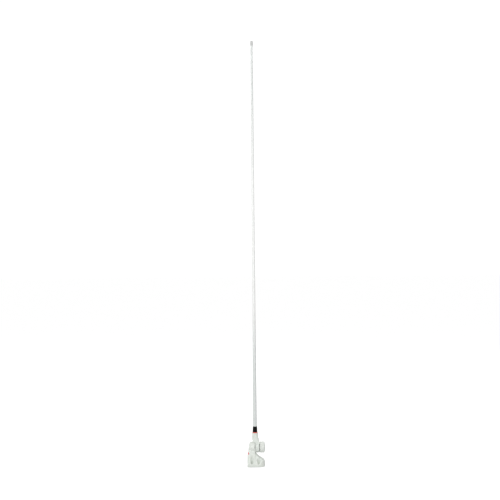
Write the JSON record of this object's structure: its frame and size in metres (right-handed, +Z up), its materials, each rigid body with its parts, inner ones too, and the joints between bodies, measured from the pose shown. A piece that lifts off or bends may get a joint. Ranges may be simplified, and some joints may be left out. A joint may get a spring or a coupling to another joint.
{
  "type": "omnidirectional antenna",
  "caption": "Tapered fibreglass whip antenna with a black sleeve and red ring on a fold-down ratchet mount with a hand knob.",
  "frame": {"origin": "centre of the four screw holes on the underside of the foot, under the whip's axis", "axes": "+Z up along the whip, +X along the hinge axis towards the hand knob, +Y to the back"},
  "size_m": [0.0753, 0.06, 1.8],
  "materials": {
    "nylon_white": "satin moulded",
    "badge_red": "gloss",
    "stainless": "bright",
    "acetal": "smooth",
    "brass": "machined",
    "insulator": "smooth",
    "black_rubber": "matte",
    "ring_red": "satin",
    "sleeve_black": "gloss",
    "fibreglass_white": "painted gloss",
    "copper": "bright",
    "foam": "cellular",
    "cap_white": "satin"
  },
  "bodies": {
    "base": {"base_moulding": "nylon_white", "badge_disc": "badge_red", "pivot_bolt": "stainless"},
    "clutch": {"pivot_bush": "acetal", "thrust_washer": "stainless", "clutch_spring": "stainless"},
    "arm": {"arm_moulding": "nylon_white", "arm_stud": "brass", "stud_insulator": "insulator", "contact_pin": "brass", "stud_o_ring": "black_rubber", "cable_grommet": "black_rubber"},
    "knob": {"knob_body": "nylon_white", "knob_nut": "brass", "knob_cap": "nylon_white"},
    "seal": {"seal_ring": "ring_red"},
    "whip": {"base_sleeve": "sleeve_black", "ferrule": "brass", "ferrule_insulator": "insulator", "contact_socket": "brass", "whip_radome": "fibreglass_white", "coil_former": "insulator", "matching_coil": "copper", "lower_radiator": "brass", "phasing_former": "insulator", "phasing_coil": "copper", "upper_radiator": "copper", "foam_spacers": "foam", "tip_cap": "cap_white"}
  },
  "joints": [
    {"name": "knob_turn", "type": "hinge", "parent": "clutch", "child": "knob", "pos_m": [0.03, 0, 0.08], "axis": [1, 0, 0], "range_deg": [-540, 0]},
    {"name": "clutch_draw", "type": "slide", "parent": "base", "child": "clutch", "axis": [1, 0, 0], "range_m": [-0.00187, 0], "deforming": ["clutch_spring"]},
    {"name": "arm_tilt", "type": "hinge", "parent": "clutch", "child": "arm", "pos_m": [0.009, 0, 0.08], "axis": [1, 0, 0], "range_deg": [-90, 90]},
    {"name": "whip_turn", "type": "hinge", "parent": "seal", "child": "whip", "pos_m": [0, 0, 0.15], "axis": [0, 0, 1], "range_deg": [0, 2160]},
    {"name": "whip_rise", "type": "slide", "parent": "arm", "child": "seal", "axis": [0, 0, 1], "range_m": [0, 0.009]}
  ],
  "couplings": [
    {"joint": "knob_turn", "follows": "clutch_draw", "rad_per_m": 5026.5},
    {"joint": "whip_turn", "follows": "whip_rise", "rad_per_m": 4188.8}
  ]
}
